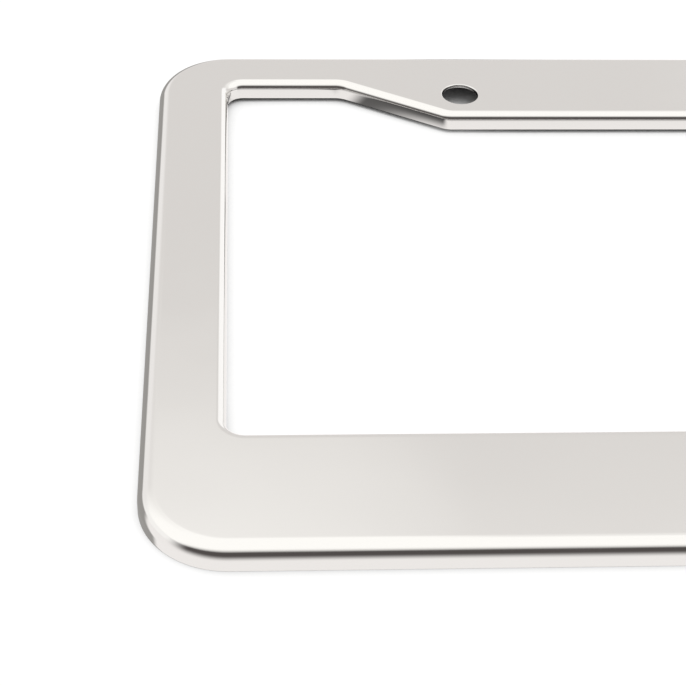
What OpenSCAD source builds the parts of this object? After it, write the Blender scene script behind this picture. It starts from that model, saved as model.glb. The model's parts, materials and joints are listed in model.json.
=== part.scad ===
// Number plate frame, pressed from one sheet of stainless steel and polished.
// A flat face carries a flange turned down along its outside and another along its window.
// It lies with its face up. The origin is under the middle of its outline, at its back edge.

/* [Plate] */
// Width of the plate that the frame holds
plate_w = 304.8; // [290:0.1:330]
// Height of the plate
plate_h = 152.4; // [148:0.1:165]
// Thickness of the plate
plate_t = 1; // [0.6:0.1:1.5]
// Distance from the plate's side edge to the middle of the nearer of its two upper holes
hole_from_side = 63.5; // [50:0.1:80]
// Distance from the plate's upper edge to the middle of its holes
hole_from_top = 15.9; // [12:0.1:20]

/* [Fit round the plate] */
// Gap between the plate and the flange at each side
side_gap = 3.6; // [0.5:0.1:5]
// Gap between the plate and the flange at the top
top_gap = 0.7; // [0.3:0.1:3]
// Gap between the plate and the flange at the bottom
bottom_gap = 5.6; // [0.3:0.1:8]

/* [Sheet] */
// Thickness of the sheet
sheet_t = 0.8; // [0.5:0.05:1.1]
// Depth from the face to the outer flange's back edge
frame_d = 5; // [4.5:0.1:8]
// Outer radius of the bend along the outside
outer_bend_r = 3; // [1.5:0.1:3.5]
// Outer radius of the bend along the window
window_bend_r = 1.9; // [1.3:0.1:2.5]
// Radius of the four outside corners, seen from above
corner_r = 16; // [8:0.5:20]

/* [Window] */
// Width of each side bar
side_bar_w = 15.4; // [10:0.1:20]
// Height of the bottom bar
bottom_bar_h = 29.8; // [15:0.1:40]
// Height of the top bar over the window's raised corners
corner_bar_h = 12.8; // [10:0.1:18]
// Sheet left between a hole's edge and the window
hole_web = 4.5; // [3:0.1:10]
// How far the top bar's deep middle reaches past the middle of each hole
shoulder = 3.6; // [2:0.1:8]
// Slope between the deep middle and the raised corners, in degrees
slope_angle = 29.51; // [25:0.01:45]
// Radius of the window's four corners
window_corner_r = 3.5; // [2:0.1:8]
// Radius of the window's corners at each end of a slope
slope_corner_r = 5; // [4.5:0.1:9]

/* [Screw holes] */
// Diameter of the two holes
hole_d = 8.1; // [6:0.1:11]
// Radius of the rounded rim that the punch leaves at the face
rim_r = 0.25; // [0.1:0.05:0.4]

/* [Hidden] */
$fn = 96;

frame_w = plate_w + 2 * (side_gap + sheet_t);
frame_h = plate_h + top_gap + bottom_gap + 2 * sheet_t;

// The outline runs along the outer flange, with its corners as [x, y, radius]
outline_left = [
    [-frame_w / 2, frame_h / 2, corner_r],
    [-frame_w / 2, -frame_h / 2, corner_r]
];

// Places that shape the window
hole_x = plate_w / 2 - hole_from_side;
hole_y = frame_h / 2 - sheet_t - top_gap - hole_from_top;
window_x = frame_w / 2 - side_bar_w;
window_top = hole_y - hole_d / 2 - hole_web;
window_corner_top = frame_h / 2 - corner_bar_h;
window_bottom = bottom_bar_h - frame_h / 2;
slope_start = hole_x + shoulder;
slope_run = (window_corner_top - window_top) / tan(slope_angle);

// The window's right half, from the middle of its upper edge to the middle of its lower one
window_right = [
    [slope_start, window_top, slope_corner_r],
    [slope_start + slope_run, window_corner_top, slope_corner_r],
    [window_x, window_corner_top, window_corner_r],
    [window_x, window_bottom, window_corner_r]
];

// Width of face that each swept edge carries with it, so that it laps the flat face
lap = 1.5;
// Extra length of a cutting tool past the surface that it cuts
overcut = 1;
// Extra turn of a corner, in degrees, before it is cut off square
over_turn = 10;

// The mirror image of a half outline, in the order that closes it
function other_half(half) = [
    for (i = [len(half) - 1 : -1 : 0]) [-half[i][0], half[i][1], half[i][2]]
];

// A half outline with its two ends on the middle line
function open_ended(half) = let (last = len(half) - 1)
    concat([[0, half[0][1], 0]], half, [[0, half[last][1], 0]]);

function xy(corner) = [corner[0], corner[1]];
function unit(v) = v / norm(v);
function left_of(v) = [-v[1], v[0]];
function way(from, to) = unit(xy(to) - xy(from));
function turn_between(a, b) = atan2(a[0] * b[1] - a[1] * b[0], a * b);
function setback(corner, turn) = corner[2] * tan(abs(turn) / 2);

// The rounded corners of a closed path, a distance away on its left, as [entry, exit, centre, radius, turn]
function rounded_corners(path, away) = [
    for (i = [0 : len(path) - 1])
        let (
            here = path[i],
            way_in = way(path[(i + len(path) - 1) % len(path)], here),
            way_out = way(here, path[(i + 1) % len(path)]),
            turn = turn_between(way_in, way_out),
            back = setback(here, turn)
        )
        [
            xy(here) - way_in * back + left_of(way_in) * away,
            xy(here) + way_out * back + left_of(way_out) * away,
            xy(here) - way_in * back + left_of(way_in) * here[2] * sign(turn),
            here[2] - away * sign(turn),
            turn
        ]
];

// The area within a whole outline moved away on its left; hand is 1 for an outline that runs to the left
module area_within(half, hand, away) {
    corners = rounded_corners(concat(half, other_half(half)), away);
    difference() {
        union() {
            polygon([for (c = corners) each [c[0], c[1]]]);
            for (c = corners) if (sign(c[4]) == hand) translate(c[2]) circle(c[3]);
        }
        for (c = corners) if (sign(c[4]) != hand) translate(c[2]) circle(c[3]);
    }
}

// Section of a turned-down edge: its wall stands at x = 0 and the face goes off along +x
module edge_section(bend_r, foot) {
    bend_z = frame_d - bend_r;
    translate([0, foot]) square([sheet_t, bend_z - foot]);
    intersection() {
        translate([0, bend_z]) square(bend_r);
        translate([bend_r, bend_z]) difference() {
            circle(bend_r);
            circle(bend_r - sheet_t);
        }
    }
    translate([bend_r, frame_d - sheet_t]) square([lap, sheet_t]);
}

// Moves what follows a corner to the corner's far end; the turn is positive to the left
module past_corner(radius, turn) {
    centre = [0, sign(turn) * radius, 0];
    translate(centre) rotate([0, 0, turn]) translate(-centre) children();
}

// A corner of the edge, begun at the origin along +x.
// It is turned a little too far, then cut off square where the next run begins.
module edge_corner(radius, turn, bend_r, foot) {
    reach = radius + bend_r + lap;
    difference() {
        mirror([0, turn < 0 ? 1 : 0, 0])
            translate([0, radius, 0])
                rotate([0, 0, -90])
                    rotate_extrude(angle = abs(turn) + over_turn)
                        translate([radius, 0])
                            mirror([turn > 0 ? 1 : 0, 0])
                                edge_section(bend_r, foot);
        past_corner(radius, turn)
            translate([0, -reach, -overcut]) cube([reach, 2 * reach, frame_d + 2 * overcut]);
    }
}

// The edge along a path from its corner number i on, begun where the last bend ended
module edge_along(path, bend_r, foot, i = 0, used = 0) {
    way_here = way(path[i], path[i + 1]);
    last = i + 2 == len(path);
    turn = last ? 0 : turn_between(way_here, way(path[i + 1], path[i + 2]));
    back = setback(path[i + 1], turn);
    run = norm(xy(path[i + 1]) - xy(path[i])) - used - back;
    rotate([90, 0, 90]) linear_extrude(run + (last ? lap : 0)) edge_section(bend_r, foot);
    if (!last) translate([run, 0, 0]) {
        edge_corner(path[i + 1][2], turn, bend_r, foot);
        past_corner(path[i + 1][2], turn) edge_along(path, bend_r, foot, i + 1, back);
    }
}

// A bent edge all round, made as one half and its mirror image
module bent_edge(half, bend_r, foot) {
    path = open_ended(half);
    heading = half[0][0] > 0 ? 0 : 180;
    for (side = [0, 1]) mirror([side, 0, 0])
        translate([0, half[0][1], 0]) rotate([0, 0, heading]) edge_along(path, bend_r, foot);
}

// The flat face, which ends halfway across the laps of both edges
module face() {
    translate([0, 0, frame_d - sheet_t]) linear_extrude(sheet_t) difference() {
        area_within(outline_left, 1, outer_bend_r + lap / 2);
        area_within(window_right, -1, window_bend_r + lap / 2);
    }
}

// What the punch takes out for a screw hole, with the rounded rim that it leaves
module punched_hole() {
    cylinder(h = frame_d + overcut, d = hole_d);
    translate([0, 0, frame_d - rim_r]) rotate_extrude() difference() {
        square([hole_d / 2 + rim_r, rim_r + overcut]);
        translate([hole_d / 2 + rim_r, 0]) circle(rim_r);
    }
}

module plate_frame() {
    color([0.85, 0.84, 0.82]) difference() {
        union() {
            face();
            bent_edge(outline_left, outer_bend_r, 0);
            bent_edge(window_right, window_bend_r, plate_t);
        }
        for (side = [-1, 1]) translate([side * hole_x, hole_y, 0]) punched_hole();
    }
}

plate_frame();
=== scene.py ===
"""A number plate frame, pressed from one sheet of mirror-polished steel, on a pale studio table.

The frame's mesh is made by Geometry Nodes. Two outlines and two screw holes are swept with the
section of a turned-down or punched edge, and the flat face and its underside fill what is between.
"""

from __future__ import annotations

import json
import logging
import math
from dataclasses import dataclass, field
from enum import Enum
from typing import Any

import bmesh
import bpy
from mathutils import Matrix, Vector

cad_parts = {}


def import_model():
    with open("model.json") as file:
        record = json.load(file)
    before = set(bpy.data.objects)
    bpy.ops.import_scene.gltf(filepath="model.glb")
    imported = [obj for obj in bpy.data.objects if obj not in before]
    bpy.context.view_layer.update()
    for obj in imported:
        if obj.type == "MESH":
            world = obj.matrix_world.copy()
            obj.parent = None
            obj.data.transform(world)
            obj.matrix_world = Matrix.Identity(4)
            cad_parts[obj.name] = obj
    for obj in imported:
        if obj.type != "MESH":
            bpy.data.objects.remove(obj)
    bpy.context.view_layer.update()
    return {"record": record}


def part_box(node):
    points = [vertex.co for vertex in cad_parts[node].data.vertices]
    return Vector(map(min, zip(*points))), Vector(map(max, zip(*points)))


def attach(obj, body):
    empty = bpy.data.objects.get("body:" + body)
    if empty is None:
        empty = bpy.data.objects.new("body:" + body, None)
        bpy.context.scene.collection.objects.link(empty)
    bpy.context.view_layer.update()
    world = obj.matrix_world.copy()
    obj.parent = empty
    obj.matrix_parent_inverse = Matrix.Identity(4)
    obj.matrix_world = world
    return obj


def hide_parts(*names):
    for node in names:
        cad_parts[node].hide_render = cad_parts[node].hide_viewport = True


LOG = logging.getLogger("plate_frame")
BODY = "root"
MM = 0.001

Colour = tuple[float, float, float, float]
Span = tuple[float, float]
BLACK: Colour = (0.0, 0.0, 0.0, 1.0)
WHITE: Colour = (1.0, 1.0, 1.0, 1.0)


class Graph:
    """A node tree while it is being built."""

    def __init__(self, tree: bpy.types.NodeTree) -> None:
        """Wraps an empty or cleared tree."""
        self.tree = tree

    def add(
        self, kind: str, inputs: dict[str | int, Any] | None = None, **settings: Any
    ) -> bpy.types.Node:
        """Adds a node.

        Args:
            kind: The node's type name.
            inputs: What goes into each input, by the input's name or place.
            settings: Values for the node's own properties.

        Returns:
            The new node.
        """
        node = self.tree.nodes.new(kind)
        for name, value in settings.items():
            setattr(node, name, value)
        for key, value in (inputs or {}).items():
            self.feed(node.inputs[key], value)
        return node

    def feed(self, socket: bpy.types.NodeSocket, value: Any) -> None:
        """Links or sets one input.

        Args:
            socket: The input.
            value: A socket, a node whose first output is used, a list of those, or a plain value.
        """
        for source in value if isinstance(value, list) else [value]:
            if isinstance(source, bpy.types.Node):
                source = source.outputs[0]
            if isinstance(source, bpy.types.NodeSocket):
                self.tree.links.new(source, socket)
            else:
                socket.default_value = source

    def math(self, operation: str, first: Any, second: Any = 0.0) -> bpy.types.NodeSocket:
        """Combines two numbers.

        Args:
            operation: The sum to do, as the Math node names it.
            first: The first number or socket.
            second: The second number or socket.

        Returns:
            The result's socket.
        """
        return self.add("ShaderNodeMath", {0: first, 1: second}, operation=operation).outputs[0]

    def point(self, x: Any, y: Any, z: Any = 0.0) -> bpy.types.NodeSocket:
        """Joins three numbers into a vector and returns its socket."""
        return self.add("ShaderNodeCombineXYZ", {0: x, 1: y, 2: z}).outputs[0]

    def step(
        self, value: Any, low: float, high: float, low_out: float = 0.0, high_out: float = 1.0
    ) -> bpy.types.NodeSocket:
        """Goes smoothly from one value to another as its input rises.

        Args:
            value: The input.
            low: Where the change starts.
            high: Where it ends.
            low_out: The result up to low.
            high_out: The result from high on.

        Returns:
            The result's socket.
        """
        inputs = {0: value, 1: low, 2: high, 3: low_out, 4: high_out}
        node = self.add("ShaderNodeMapRange", inputs, interpolation_type="SMOOTHSTEP")
        return node.outputs[0]

    def fade(self, value: Any, span: Span) -> bpy.types.NodeSocket:
        """Goes smoothly from 1 to 0 across a span of its input, and returns the socket."""
        return self.step(value, *span, 1.0, 0.0)

    def product(self, first: Any, *others: Any) -> bpy.types.NodeSocket:
        """Multiplies two or more numbers.

        Args:
            first: The first number or socket.
            others: The other numbers or sockets.

        Returns:
            The result's socket.
        """
        for other in others:
            first = self.math("MULTIPLY", first, other)
        return first

    def dot(self, vector: Any, way: tuple[float, float, float]) -> bpy.types.NodeSocket:
        """Measures how far a vector goes one way, and returns the socket."""
        node = self.add("ShaderNodeVectorMath", {0: vector, 1: way}, operation="DOT_PRODUCT")
        return node.outputs["Value"]

    def mix(self, share: Any, first: Any, second: Any) -> bpy.types.NodeSocket:
        """Mixes two numbers.

        Args:
            share: How much of the second number there is, from 0 to 1.
            first: The first number or socket.
            second: The second number or socket.

        Returns:
            The mixed number's socket.
        """
        return self.add("ShaderNodeMix", {0: share, 2: first, 3: second}).outputs[0]

    def blend(self, share: Any, first: Any, second: Any) -> bpy.types.NodeSocket:
        """Mixes two colours.

        Args:
            share: How much of the second colour there is, from 0 to 1.
            first: The first colour or socket.
            second: The second colour or socket.

        Returns:
            The mixed colour's socket.
        """
        node = self.add("ShaderNodeMix", {0: share, 6: first, 7: second}, data_type="RGBA")
        return node.outputs[2]


@dataclass(frozen=True)
class PolishedSteel:
    """Mirror-polished stainless steel: rubbed along its length, not quite even, with faint smears."""

    colour: Colour = (0.80, 0.79, 0.77, 1.0)
    clean: float = 0.07
    smeared: float = 0.13
    smear_scale: float = 32.0
    smear_detail: float = 4.0
    smear_grain: float = 0.65
    smear_edge: Span = (0.42, 0.72)
    rub_scale: tuple[float, float, float] = (60.0, 1800.0, 1800.0)
    rub_detail: float = 2.0
    rub_depth: float = 0.0012 * MM
    wave_scale: float = 26.0
    wave_detail: float = 1.0
    wave_depth: float = 0.2 * MM

    def smears(self, graph: Graph, place: Any) -> bpy.types.NodeSocket:
        """Makes the roughness, higher where the polish has faint smears.

        Args:
            graph: The tree that it goes into.
            place: The object's own coordinates.

        Returns:
            The roughness socket.
        """
        cloud = {
            "Vector": place,
            "Scale": self.smear_scale,
            "Detail": self.smear_detail,
            "Roughness": self.smear_grain,
        }
        noise = graph.add("ShaderNodeTexNoise", cloud)
        return graph.step(noise, *self.smear_edge, self.clean, self.smeared)

    def unevenness(self, graph: Graph, place: Any) -> bpy.types.Node:
        """Makes the sheet's slight waves and the fine lines of the polishing wheel.

        Args:
            graph: The tree that it goes into.
            place: The object's own coordinates.

        Returns:
            The node that gives the normal.
        """
        swell = {"Vector": place, "Scale": self.wave_scale, "Detail": self.wave_detail}
        wave = graph.add("ShaderNodeTexNoise", swell)
        waves = graph.add("ShaderNodeBump", {"Distance": self.wave_depth, "Height": wave})
        drawn_out = {0: place, 1: self.rub_scale}
        stretched = graph.add("ShaderNodeVectorMath", drawn_out, operation="MULTIPLY")
        rubbing = {"Vector": stretched, "Scale": 1.0, "Detail": self.rub_detail}
        line = graph.add("ShaderNodeTexNoise", rubbing)
        lines = {"Distance": self.rub_depth, "Height": line, "Normal": waves}
        return graph.add("ShaderNodeBump", lines)

    def material(self) -> bpy.types.Material:
        """Builds the finish as a material.

        Returns:
            The material.
        """
        material = bpy.data.materials.new("polished_steel")
        material.use_nodes = True
        material.node_tree.nodes.clear()
        graph = Graph(material.node_tree)
        place = graph.add("ShaderNodeTexCoord").outputs["Object"]
        look = {
            "Base Color": self.colour,
            "Metallic": 1.0,
            "Roughness": self.smears(graph, place),
            "Normal": self.unevenness(graph, place),
        }
        shader = graph.add("ShaderNodeBsdfPrincipled", look)
        graph.add("ShaderNodeOutputMaterial", {"Surface": shader})
        return material


class Rail(Enum):
    """The two outlines that a turned-down edge follows, by their number on the corner points."""

    OUTLINE = 0
    WINDOW = 1


@dataclass
class PlateFrame:
    """The pressed frame: a flat face with a flange turned down outside and one along the window."""

    finish: PolishedSteel
    node: str = "plate_frame"
    slot: str = "polished_steel"
    screw_mount: str = "plate_screws"
    sheet: float = 0.8 * MM
    outer_bend: float = 3.0 * MM
    window_bend: float = 1.9 * MM
    window_foot: float = 1.0 * MM
    corner: float = 16.0 * MM
    side_bar: float = 15.4 * MM
    bottom_bar: float = 29.8 * MM
    corner_bar: float = 12.8 * MM
    hole_web: float = 4.5 * MM
    shoulder: float = 3.6 * MM
    slope: float = math.radians(29.51)
    window_corner: float = 3.5 * MM
    slope_corner: float = 5.0 * MM
    rim: float = 0.25 * MM
    edge_break: float = 0.08 * MM
    support: float = 0.3 * MM
    weld: float = 0.002 * MM
    bend_steps: int = 24
    corner_steps: int = 24
    break_steps: int = 3
    rim_steps: int = 9
    hole_steps: int = 96
    low: Vector = field(init=False)
    high: Vector = field(init=False)
    hole_x: float = field(init=False)
    hole_y: float = field(init=False)
    hole_r: float = field(init=False)

    def __post_init__(self) -> None:
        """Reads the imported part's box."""
        self.low, self.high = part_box(self.node)

    def read_holes(self, record: dict[str, Any]) -> None:
        """Takes the screw holes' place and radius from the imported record.

        Args:
            record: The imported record.
        """
        mount = next(m for m in record["mounts"] if m["name"] == self.screw_mount)
        self.hole_x = mount["dims"]["spacing_x_mm"] * MM / 2
        self.hole_y = mount["pos_m"][1]
        self.hole_r = mount["dims"]["hole_r_mm"] * MM

    def outline(self) -> list[tuple[float, float, float]]:
        """Returns the outline's corners as x, y and radius, with the sheet on the left of the way."""
        x, y = self.high.x, self.high.y
        return [(sx * x, sy * y, self.corner) for sx, sy in ((1, 1), (-1, 1), (-1, -1), (1, -1))]

    def window(self) -> list[tuple[float, float, float]]:
        """Finds the window's corners, with the sheet on the left of the way.

        Returns:
            The corners as x, y and radius.
        """
        side = self.high.x - self.side_bar
        bottom = self.low.y + self.bottom_bar
        raised = self.high.y - self.corner_bar
        deep = self.hole_y - self.hole_r - self.hole_web
        slope_start = self.hole_x + self.shoulder
        slope_end = slope_start + (raised - deep) / math.tan(self.slope)
        right = [
            (slope_start, deep, self.slope_corner),
            (slope_end, raised, self.slope_corner),
            (side, raised, self.window_corner),
            (side, bottom, self.window_corner),
        ]
        return right + [(-x, y, radius) for x, y, radius in reversed(right)]

    def corner_points(self) -> bpy.types.Mesh:
        """Makes a mesh of both outlines' corner points, with their radius and their rail's number.

        Returns:
            The mesh, which has points and no edges.
        """
        corners = [(Rail.OUTLINE, c) for c in self.outline()] + [(Rail.WINDOW, c) for c in self.window()]
        mesh = bpy.data.meshes.new("corner_points")
        mesh.from_pydata([(x, y, 0.0) for _, (x, y, _) in corners], [], [])
        radius = mesh.attributes.new("fillet", "FLOAT", "POINT")
        radius.data.foreach_set("value", [c[2] for _, c in corners])
        rail = mesh.attributes.new("rail", "INT", "POINT")
        rail.data.foreach_set("value", [which.value for which, _ in corners])
        return mesh

    def sizes(self) -> dict[str, Any]:
        """Returns the tree's named inputs and their values."""
        return {
            "Sheet": self.sheet,
            "Depth": self.high.z,
            "Outer Bend": self.outer_bend,
            "Window Bend": self.window_bend,
            "Window Foot": self.window_foot,
            "Hole X": self.hole_x,
            "Hole Y": self.hole_y,
            "Hole Radius": self.hole_r,
            "Rim": self.rim,
            "Edge Break": self.edge_break,
            "Support": self.support,
            "Weld": self.weld,
            "Bend Steps": self.bend_steps,
            "Corner Steps": self.corner_steps,
            "Break Steps": self.break_steps,
            "Rim Steps": self.rim_steps,
            "Hole Steps": self.hole_steps,
            "Finish": self.finish.material(),
        }

    def section(
        self, graph: Graph, points: list[tuple[Any, Any]], radii: list[Any], counts: list[Any]
    ) -> bpy.types.Node:
        """Makes the section of an edge, with x going into the sheet and y up.

        Args:
            graph: The tree that it goes into.
            points: The section's corners, as x and y.
            radii: The radius at each corner.
            counts: How many steps round each corner.

        Returns:
            The node that gives the section as a curve, turned as the sweep needs it.
        """
        line = graph.add("GeometryNodeMeshLine", {"Count": len(points)}, mode="OFFSET")
        places = self.by_index(graph, "VECTOR", [graph.point(x, y) for x, y in points])
        placed = graph.add("GeometryNodeSetPosition", {"Geometry": line, "Position": places})
        curve = graph.add("GeometryNodeMeshToCurve", {"Mesh": placed})
        rounding = {
            "Curve": curve,
            "Radius": self.by_index(graph, "FLOAT", radii),
            "Count": self.by_index(graph, "INT", counts),
        }
        rounded = graph.add("GeometryNodeFilletCurve", rounding, mode="POLY")
        half_turn = (0.0, 0.0, math.pi)
        return graph.add("GeometryNodeTransform", {"Geometry": rounded, "Rotation": half_turn})

    @staticmethod
    def by_index(graph: Graph, kind: str, values: list[Any]) -> bpy.types.NodeSocket:
        """Gives each point its own value by its number.

        Args:
            graph: The tree that it goes into.
            kind: The values' type, as the Index Switch names it.
            values: One value or socket for each point.

        Returns:
            The chosen value's socket.
        """
        switch = graph.add("GeometryNodeIndexSwitch", data_type=kind)
        while len(switch.index_switch_items) < len(values):
            switch.index_switch_items.new()
        graph.feed(switch.inputs["Index"], graph.add("GeometryNodeInputIndex"))
        for number, value in enumerate(values):
            graph.feed(switch.inputs[str(number)], value)
        return switch.outputs[0]

    def bent_section(self, graph: Graph, given: Any, bend: Any, foot: Any) -> bpy.types.Node:
        """Makes the section of a turned-down edge, from the face round to the underside.

        Args:
            graph: The tree that it goes into.
            given: The tree's named inputs.
            bend: The bend's outer radius.
            foot: The height at which the flange ends.

        Returns:
            The node that gives the section.
        """
        sheet, depth, edge = given["Sheet"], given["Depth"], given["Edge Break"]
        seam = graph.math("ADD", bend, given["Support"])
        under = graph.math("SUBTRACT", depth, sheet)
        above_foot = graph.math("ADD", foot, given["Support"])
        points = [
            (seam, depth),
            (0.0, depth),
            (0.0, above_foot),
            (0.0, foot),
            (sheet, foot),
            (sheet, above_foot),
            (sheet, under),
            (seam, under),
        ]
        radii = [0.0, bend, 0.0, edge, edge, 0.0, graph.math("SUBTRACT", bend, sheet), 0.0]
        turn, small = given["Bend Steps"], given["Break Steps"]
        return self.section(graph, points, radii, [1, turn, 1, small, small, 1, turn, 1])

    def punched_section(self, graph: Graph, given: Any) -> bpy.types.Node:
        """Makes the section of a punched hole's edge, with the rounded rim that the punch leaves.

        Args:
            graph: The tree that it goes into.
            given: The tree's named inputs.

        Returns:
            The node that gives the section.
        """
        depth, rim, edge = given["Depth"], given["Rim"], given["Edge Break"]
        seam = graph.math("ADD", rim, given["Support"])
        under = graph.math("SUBTRACT", depth, given["Sheet"])
        above_under = graph.math("ADD", under, graph.product(edge, 2.0))
        points = [(seam, depth), (0.0, depth), (0.0, above_under), (0.0, under), (seam, under)]
        counts = [1, given["Rim Steps"], 1, given["Break Steps"], 1]
        return self.section(graph, points, [0.0, rim, 0.0, edge, 0.0], counts)

    def rail(self, graph: Graph, given: Any, which: Rail) -> bpy.types.Node:
        """Makes one outline with its corners rounded.

        Args:
            graph: The tree that it goes into.
            given: The tree's named inputs.
            which: The outline to make.

        Returns:
            The node that gives the outline as a closed curve.
        """
        number = graph.add("GeometryNodeInputNamedAttribute", {"Name": "rail"}, data_type="INT")
        same = self.equal(graph, number, which.value)
        choice = {"Geometry": given["Geometry"], "Selection": same}
        chosen = graph.add("GeometryNodeSeparateGeometry", choice)
        points = graph.add("GeometryNodeMeshToPoints", {"Mesh": chosen})
        path = graph.add("GeometryNodePointsToCurves", {"Points": points})
        closed = graph.add("GeometryNodeSetSplineCyclic", {"Geometry": path, "Cyclic": True})
        radius = graph.add("GeometryNodeInputNamedAttribute", {"Name": "fillet"}, data_type="FLOAT")
        rounding = {"Curve": closed, "Radius": radius, "Count": given["Corner Steps"]}
        return graph.add("GeometryNodeFilletCurve", rounding, mode="POLY")

    @staticmethod
    def equal(graph: Graph, first: Any, second: Any) -> bpy.types.Node:
        """Tests whether two whole numbers are the same, and returns the node."""
        pair = {2: first, 3: second}
        return graph.add("FunctionNodeCompare", pair, data_type="INT", operation="EQUAL")

    @staticmethod
    def sweep(graph: Graph, rail: Any, section: Any) -> bpy.types.Node:
        """Sweeps a section along a flat path that has the sheet on its left.

        Args:
            graph: The tree that it goes into.
            rail: The path.
            section: The section.

        Returns:
            The node that gives the swept edge.
        """
        level = graph.add("GeometryNodeSetCurveNormal", {"Curve": rail}, mode="Z_UP")
        return graph.add("GeometryNodeCurveToMesh", {"Curve": level, "Profile Curve": section})

    def screw_holes(self, graph: Graph, given: Any) -> bpy.types.Node:
        """Makes both screw holes' edges.

        Args:
            graph: The tree that it goes into.
            given: The tree's named inputs.

        Returns:
            The node that gives the edges as one mesh.
        """
        size = {"Resolution": given["Hole Steps"], "Radius": given["Hole Radius"]}
        ring = graph.add("GeometryNodeCurvePrimitiveCircle", size, mode="RADIUS")
        clockwise = graph.add("GeometryNodeReverseCurve", {"Curve": ring})
        edge = self.sweep(graph, clockwise, self.punched_section(graph, given))
        ends = {
            "Count": 2,
            "Start Location": graph.point(graph.product(given["Hole X"], -1.0), given["Hole Y"]),
            "Offset": graph.point(graph.product(given["Hole X"], 2.0), 0.0),
        }
        places = graph.add("GeometryNodeMeshLine", ends, mode="OFFSET")
        pair = graph.add("GeometryNodeInstanceOnPoints", {"Points": places, "Instance": edge})
        return graph.add("GeometryNodeRealizeInstances", {"Geometry": pair})

    def flat_side(self, graph: Graph, given: Any, edges: Any, is_face: bool) -> bpy.types.Node:
        """Fills the flat sheet between the edges, on the face or on the underside.

        Args:
            graph: The tree that it goes into.
            given: The tree's named inputs.
            edges: The swept edges, whose open rims bound the flat sheet.
            is_face: True for the face, False for the underside.

        Returns:
            The node that gives the flat mesh.
        """
        position = graph.add("GeometryNodeInputPosition")
        height = graph.add("ShaderNodeSeparateXYZ", {0: position}).outputs[2]
        middle = graph.math("SUBTRACT", given["Depth"], graph.product(given["Sheet"], 0.5))
        side = graph.math("GREATER_THAN" if is_face else "LESS_THAN", height, middle)
        faces_met = graph.add("GeometryNodeInputMeshEdgeNeighbors")
        open_rim = self.equal(graph, faces_met, 1)
        both = graph.add("FunctionNodeBooleanMath", {0: open_rim, 1: side}, operation="AND")
        rims = graph.add("GeometryNodeMeshToCurve", {"Mesh": edges, "Selection": both})
        flat = graph.add("GeometryNodeFillCurve", {"Curve": rims}, mode="TRIANGLES")
        level = given["Depth"] if is_face else graph.math("SUBTRACT", given["Depth"], given["Sheet"])
        move = {"Geometry": flat, "Translation": graph.point(0.0, 0.0, level)}
        placed = graph.add("GeometryNodeTransform", move)
        return placed if is_face else graph.add("GeometryNodeFlipFaces", {"Mesh": placed})

    def tree(self, sizes: dict[str, Any]) -> bpy.types.NodeTree:
        """Builds the Geometry Nodes tree that makes the frame from its corner points.

        Args:
            sizes: The tree's named inputs and their values.

        Returns:
            The tree.
        """
        tree = bpy.data.node_groups.new("pressed_frame", "GeometryNodeTree")
        graph = Graph(tree)
        sockets = tree.interface
        sockets.new_socket("Geometry", in_out="INPUT", socket_type="NodeSocketGeometry")
        kinds = {
            float: "NodeSocketFloat",
            int: "NodeSocketInt",
            bpy.types.Material: "NodeSocketMaterial",
        }
        for name, value in sizes.items():
            sockets.new_socket(name, in_out="INPUT", socket_type=kinds[type(value)])
        sockets.new_socket("Geometry", in_out="OUTPUT", socket_type="NodeSocketGeometry")
        given = graph.add("NodeGroupInput").outputs
        outer_section = self.bent_section(graph, given, given["Outer Bend"], 0.0)
        window_section = self.bent_section(graph, given, given["Window Bend"], given["Window Foot"])
        parts = [
            self.sweep(graph, self.rail(graph, given, Rail.OUTLINE), outer_section),
            self.sweep(graph, self.rail(graph, given, Rail.WINDOW), window_section),
            self.screw_holes(graph, given),
        ]
        edges = graph.add("GeometryNodeJoinGeometry", {"Geometry": parts})
        sides = [self.flat_side(graph, given, edges, is_face) for is_face in (True, False)]
        whole = graph.add("GeometryNodeJoinGeometry", {"Geometry": [edges, *sides]})
        welding = {"Geometry": whole, "Distance": given["Weld"]}
        welded = graph.add("GeometryNodeMergeByDistance", welding)
        smooth = graph.add("GeometryNodeSetShadeSmooth", {"Geometry": welded, "Shade Smooth": True})
        real = graph.add("GeometryNodeRealizeInstances", {"Geometry": smooth})
        dressed = graph.add("GeometryNodeSetMaterial", {"Geometry": real, "Material": given["Finish"]})
        graph.add("NodeGroupOutput", {"Geometry": dressed})
        return tree

    def build(self) -> bpy.types.Object:
        """Makes the frame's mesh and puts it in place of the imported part.

        Returns:
            The finished piece.
        """
        maker = bpy.data.objects.new("pressed_frame_maker", self.corner_points())
        bpy.context.scene.collection.objects.link(maker)
        modifier = maker.modifiers.new("press", "NODES")
        sizes = self.sizes()
        modifier.node_group = self.tree(sizes)
        for socket in modifier.node_group.interface.items_tree:
            if socket.in_out == "INPUT" and socket.name in sizes:
                modifier[socket.identifier] = sizes[socket.name]
        made = maker.evaluated_get(bpy.context.evaluated_depsgraph_get())
        mesh = bpy.data.meshes.new_from_object(made)
        bpy.data.objects.remove(maker)
        face_outwards(mesh)
        piece = bpy.data.objects.new("pressed_frame", mesh)
        bpy.context.scene.collection.objects.link(piece)
        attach(piece, BODY)
        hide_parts(self.node)
        LOG.info("%s: %d points, %d faces", piece.name, len(mesh.vertices), len(mesh.polygons))
        return piece


def face_outwards(mesh: bpy.types.Mesh) -> None:
    """Turns every face of a closed mesh outwards.

    Args:
        mesh: The mesh to mend.
    """
    work = bmesh.new()
    work.from_mesh(mesh)
    bmesh.ops.recalc_face_normals(work, faces=work.faces)
    work.to_mesh(mesh)
    work.free()


def turns(low: float, high: float) -> Span:
    """Returns a span of turns, given in degrees, in radians."""
    return math.radians(low), math.radians(high)


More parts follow.
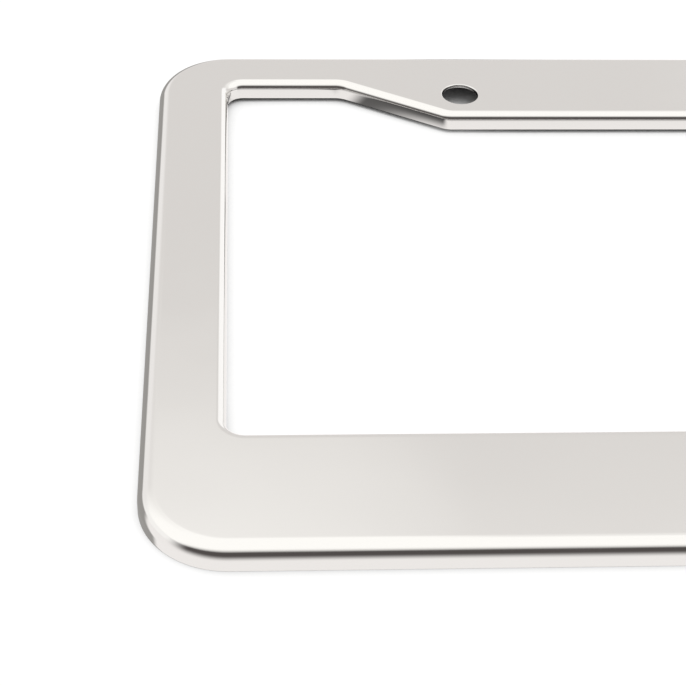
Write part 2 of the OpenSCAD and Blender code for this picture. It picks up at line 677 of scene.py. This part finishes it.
@dataclass(frozen=True)
class StudioLight:
    """What the polished steel mirrors: a pale backdrop and table, a wide softbox and a dim front.

    A way is placed by the point where it meets a level sheet one unit up: across to the right
    and away from the camera. The lowest height keeps that point in reach for level ways. What
    lies near or below the horizon is placed by its turn instead, which grows to the right. It
    is 0 straight off from the camera or, for the dim front, straight towards it. Heights are
    the way's part upwards, from -1 to 1. Each pair of numbers gives where a soft change starts
    and where it ends.
    """

    backdrop: Colour = (0.845, 0.822, 0.810, 1.0)
    left_wall: Colour = (1.01, 0.99, 0.985, 1.0)
    far_left_wall: Colour = (1.12, 1.11, 1.10, 1.0)
    right_wall: Colour = (1.2, 1.19, 1.19, 1.0)
    softbox: Colour = (1.24, 1.23, 1.21, 1.0)
    table: Colour = (1.05, 1.025, 1.02, 1.0)
    dim: Colour = (0.10, 0.09, 0.088, 1.0)
    dusk: Colour = (0.38, 0.37, 0.36, 1.0)
    crisp_far_edge: Span = (0.7, 1.34)
    slant_across: Span = (-0.03, 0.22)
    slant: float = 0.1
    soft_far_edge: Span = (0.3, 1.6)
    soft_across: Span = (-0.3, -0.1)
    front_edge: Span = (-1.87, -0.64)
    side_edge: Span = (1.8, 2.9)
    weak_across: Span = (0.08, 0.2)
    weak_away: Span = (0.3, 0.6)
    weak_share: float = 0.55
    lowest: float = 0.02
    wall_top: Span = (0.56, 0.64)
    left_across: Span = (-1.25, -0.4)
    left_turn: Span = turns(-20, -8)
    far_left_turn: Span = turns(-72, -48)
    right_start: Span = turns(15.5, 20)
    right_end: Span = turns(42, 58)
    horizon: Span = (-0.04, 0.04)
    dim_height: Span = (-0.57, 0.2)
    dim_start: Span = turns(-76, -46)
    dim_end: Span = turns(35, 50)
    dusk_top: Span = (0.0, 0.14)
    dusk_start: Span = turns(-78, -66)
    dusk_end: Span = turns(-8, 0)

    def softbox_share(self, graph: Graph, across: Any, away: Any) -> bpy.types.NodeSocket:
        """Shows how much of the softbox there is in a way.

        Its far edge is crisp and a little slanted on the right, and softer on the left. Its
        far right part is weaker.

        Args:
            graph: The tree that it goes into.
            across: The way's place to the right.
            away: Its place away from the camera.

        Returns:
            The share's socket.
        """
        slant = graph.step(across, *self.slant_across, 0.0, self.slant)
        crisp = graph.fade(graph.math("ADD", away, slant), self.crisp_far_edge)
        soft = graph.fade(away, self.soft_far_edge)
        far_edge = graph.mix(graph.fade(across, self.soft_across), crisp, soft)
        front_edge = graph.step(away, *self.front_edge)
        side_edge = graph.fade(graph.math("ABSOLUTE", across), self.side_edge)
        weak = graph.product(graph.step(across, *self.weak_across), graph.step(away, *self.weak_away))
        strength = graph.step(weak, 0.0, 1.0, 1.0, self.weak_share)
        return graph.product(far_edge, front_edge, side_edge, strength)

    def walls(self, graph: Graph, x: Any, y: Any, z: Any) -> bpy.types.NodeSocket:
        """Colours the studio round the table, below the softbox, and the table itself.

        Args:
            graph: The tree that it goes into.
            x: The way's part to the right.
            y: Its part away from the camera.
            z: Its part upwards.

        Returns:
            The colour's socket.
        """
        turn = graph.math("ARCTAN2", x, y)
        across = graph.math("DIVIDE", x, graph.math("MAXIMUM", z, self.lowest))
        low = graph.fade(z, self.wall_top)
        leftwards = graph.product(graph.fade(turn, self.left_turn), graph.fade(across, self.left_across))
        far_left = graph.product(graph.fade(turn, self.far_left_turn), low)
        rightwards = graph.step(turn, *self.right_start)
        right = graph.product(rightwards, graph.fade(turn, self.right_end), low)
        left = graph.blend(far_left, self.left_wall, self.far_left_wall)
        pale = graph.blend(leftwards, self.backdrop, left)
        pale = graph.blend(right, pale, self.right_wall)
        pale = graph.blend(graph.fade(z, self.horizon), pale, self.table)
        front = graph.blend(graph.step(z, *self.dim_height), self.table, self.dim)
        seen = graph.blend(self.front_share(graph, x, y), pale, front)
        return graph.blend(self.dusk_share(graph, turn, z), seen, self.dusk)

    def front_share(self, graph: Graph, x: Any, y: Any) -> bpy.types.NodeSocket:
        """Shows how far a way goes to the dim front.

        Args:
            graph: The tree that it goes into.
            x: The way's part to the right.
            y: Its part away from the camera.

        Returns:
            The share's socket.
        """
        turn = graph.math("ARCTAN2", x, graph.math("MULTIPLY", y, -1.0))
        return graph.product(graph.step(turn, *self.dim_start), graph.fade(turn, self.dim_end))

    def dusk_share(self, graph: Graph, turn: Any, z: Any) -> bpy.types.NodeSocket:
        """Shows how far a way goes to the table's dusky left part.

        Args:
            graph: The tree that it goes into.
            turn: The way's turn.
            z: The way's part upwards.

        Returns:
            The share's socket.
        """
        sideways = graph.product(graph.step(turn, *self.dusk_start), graph.fade(turn, self.dusk_end))
        return graph.product(graph.fade(z, self.dusk_top), sideways)

    def build(self) -> bpy.types.World:
        """Sets the world up. What a ray sees depends on its way alone.

        Returns:
            The world.
        """
        world = bpy.data.worlds.new("studio")
        bpy.context.scene.world = world
        world.use_nodes = True
        world.node_tree.nodes.clear()
        graph = Graph(world.node_tree)
        way = graph.add("ShaderNodeTexCoord").outputs["Generated"]
        x, y, z = graph.add("ShaderNodeSeparateXYZ", {0: way}).outputs
        height = graph.math("MAXIMUM", z, self.lowest)
        across = graph.math("DIVIDE", x, height)
        away = graph.math("DIVIDE", y, height)
        panel = self.softbox_share(graph, across, away)
        seen = graph.blend(panel, self.walls(graph, x, y, z), self.softbox)
        rays = graph.add("ShaderNodeLightPath").outputs
        shown = graph.blend(rays["Is Camera Ray"], seen, WHITE)
        background = graph.add("ShaderNodeBackground", {"Color": shown, "Strength": 1.0})
        graph.add("ShaderNodeOutputWorld", {"Surface": background})
        return world


@dataclass(frozen=True)
class Table:
    """The pale table that the frame lies on, with what the steel mirrors of it.

    Room is the share of open sky over a point, which falls where the frame is near; it darkens
    the table's glow, a painted shade. In a mirror the table has a painted dark patch, which gives
    the steel a painted dark reflection, placed by how far a point lies along the window's left
    slope and how far it lies into the window. Its near side pales along the slope. Each pair of
    numbers gives where a soft change starts and ends, or the dimness there.
    """

    half_side: float = 3.0
    colour: Colour = (0.9, 0.9, 0.9, 1.0)
    lift: float = 0.8
    shade_reach: float = 15.0 * MM
    shade_samples: int = 8
    shade_room: Span = (0.08, 0.7)
    mirrored_room: Span = (0.22, 0.46)
    patch_start: tuple[float, float, float] = (-115.7 * MM, 67.3 * MM, 0.0)
    patch_turn: float = math.radians(-29.5)
    patch_left_end: Span = (0.0, 5.0 * MM)
    patch_right_end: Span = (24.0 * MM, 28.0 * MM)
    patch_front_end: Span = (20.0 * MM, 35.0 * MM)
    patch_dimness: float = 0.88
    near_side: Span = (1.0 * MM, 5.0 * MM)
    near_side_pales: Span = (6.0 * MM, 24.0 * MM)
    near_side_dimness: Span = (0.86, 0.15)

    def mirrored_patch(self, graph: Graph) -> bpy.types.NodeSocket:
        """Shows the painted dark patch that the table has in a mirror, a painted dark reflection on the
        steel.

        Args:
            graph: The tree that it goes into.

        Returns:
            The socket of the dimness, 0 where the table is clear.
        """
        # Painted reflection: this patch dims the table for mirror rays alone, so the steel's slope
        # mirrors a dark band.
        place = graph.add("ShaderNodeTexCoord").outputs["Object"]
        offset = {0: place, 1: self.patch_start}
        from_start = graph.add("ShaderNodeVectorMath", offset, operation="SUBTRACT")
        cosine = math.cos(self.patch_turn)
        sine = math.sin(self.patch_turn)
        along = graph.dot(from_start, (cosine, sine, 0.0))
        inwards = graph.dot(from_start, (sine, -cosine, 0.0))
        near = graph.step(along, *self.near_side_pales, *self.near_side_dimness)
        dimness = graph.mix(graph.step(inwards, *self.near_side), near, self.patch_dimness)
        left_end = graph.step(along, *self.patch_left_end)
        right_end = graph.fade(along, self.patch_right_end)
        front_end = graph.fade(inwards, self.patch_front_end)
        return graph.product(left_end, right_end, dimness, front_end)

    def material(self) -> bpy.types.Material:
        """Builds a white that keeps the soft shade round the frame. Most of it is a glow in which
        ambient occlusion paints that shade; the rest is plain white that the lamp really shades.

        In a mirror the table is clear but for its painted shade and a painted dark patch, so that
        the steel shows the studio light's own colours below the horizon, with a painted dark reflection.

        Returns:
            The material.
        """
        material = bpy.data.materials.new("pale_table")
        material.use_nodes = True
        material.node_tree.nodes.clear()
        graph = Graph(material.node_tree)
        plain = graph.add("ShaderNodeBsdfDiffuse", {"Color": self.colour})
        # Painted shade: ambient occlusion darkens the table's glow round the frame and under it.
        reach = {"Distance": self.shade_reach}
        shade = graph.add("ShaderNodeAmbientOcclusion", reach, samples=self.shade_samples)
        room = shade.outputs["AO"]
        shown = graph.blend(graph.step(room, *self.shade_room), BLACK, WHITE)
        bright = graph.add("ShaderNodeEmission", {"Color": shown, "Strength": 1.0})
        rays = graph.add("ShaderNodeLightPath").outputs
        seen = graph.math("MAXIMUM", rays["Is Camera Ray"], rays["Is Transmission Ray"])
        lifted = graph.product(seen, self.lift)
        direct = graph.add("ShaderNodeMixShader", {0: lifted, 1: plain, 2: bright})
        # In a mirror the table shows black, a painted shade, where occlusion is low and under the
        # painted dark patch.
        painted_dark = graph.add("ShaderNodeEmission", {"Color": BLACK, "Strength": 1.0})
        clear = graph.add("ShaderNodeBsdfTransparent")
        # clean is the share of the table outside the painted dark patch.
        clean = graph.math("SUBTRACT", 1.0, self.mirrored_patch(graph))
        clear_in_mirror = graph.product(graph.step(room, *self.mirrored_room), clean)
        mirrored = graph.add("ShaderNodeMixShader", {0: clear_in_mirror, 1: painted_dark, 2: clear})
        surface = graph.add("ShaderNodeMixShader", {0: rays["Is Glossy Ray"], 1: direct, 2: mirrored})
        graph.add("ShaderNodeOutputMaterial", {"Surface": surface})
        return material

    def build(self) -> bpy.types.Object:
        """Makes the table's top at the height of the frame's back edge.

        Returns:
            The table's top.
        """
        mesh = bpy.data.meshes.new("table_top")
        signs = ((-1, -1), (1, -1), (1, 1), (-1, 1))
        corners = [(x * self.half_side, y * self.half_side, 0.0) for x, y in signs]
        mesh.from_pydata(corners, [], [(0, 1, 2, 3)])
        mesh.materials.append(self.material())
        top = bpy.data.objects.new("table_top", mesh)
        bpy.context.scene.collection.objects.link(top)
        return top


@dataclass(frozen=True)
class PhotoCamera:
    """The camera, where the photograph was taken from."""

    place: tuple[float, float, float] = (-138.03 * MM, -300.66 * MM, 230.68 * MM)
    heading: float = math.radians(3.880)
    down: float = math.radians(39.327)
    roll: float = math.radians(2.094)
    lens: float = 98.71
    sensor: float = 36.0
    nearest: float = 10.0 * MM

    def build(self) -> bpy.types.Object:
        """Makes the camera and sets it as the scene's.

        Returns:
            The camera.
        """
        data = bpy.data.cameras.new("photo_camera")
        data.lens = self.lens
        data.sensor_width = self.sensor
        data.dof.use_dof = False
        data.clip_start = self.nearest
        camera = bpy.data.objects.new("photo_camera", data)
        bpy.context.scene.collection.objects.link(camera)
        ahead = Vector(
            (
                math.sin(self.heading) * math.cos(self.down),
                math.cos(self.heading) * math.cos(self.down),
                -math.sin(self.down),
            )
        )
        level = Vector((math.cos(self.heading), -math.sin(self.heading), 0.0))
        above = level.cross(ahead)
        right = math.cos(self.roll) * level + math.sin(self.roll) * above
        up = math.cos(self.roll) * above - math.sin(self.roll) * level
        turned = Matrix((right, up, -ahead)).transposed()
        camera.matrix_world = Matrix.Translation(self.place) @ turned.to_4x4()
        bpy.context.scene.camera = camera
        return camera


@dataclass(frozen=True)
class SoftboxLamp:
    """The lamp that gives the soft shade on the table. The steel doesn't mirror it."""

    width: float = 0.9
    depth: float = 0.7
    power: float = 4.0
    place: tuple[float, float, float] = (0.0, 0.1, 0.9)

    def build(self) -> bpy.types.Object:
        """Makes the lamp, which shines straight down.

        Returns:
            The lamp.
        """
        data = bpy.data.lights.new("softbox_lamp", "AREA")
        data.shape = "RECTANGLE"
        data.size = self.width
        data.size_y = self.depth
        data.energy = self.power
        lamp = bpy.data.objects.new("softbox_lamp", data)
        lamp.location = self.place
        lamp.visible_glossy = False
        bpy.context.scene.collection.objects.link(lamp)
        return lamp


def main() -> None:
    """Builds the scene in order and reports each thing made."""
    logging.basicConfig(level=logging.INFO, format="%(name)s: %(message)s")
    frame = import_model()
    bpy.context.scene.view_settings.view_transform = "Standard"
    plate_frame = PlateFrame(PolishedSteel())
    plate_frame.read_holes(frame["record"])
    for maker in (PhotoCamera(), plate_frame, Table(), StudioLight(), SoftboxLamp()):
        made = maker.build()
        LOG.info("made %s", made.name)


if __name__ == "__main__":
    main()
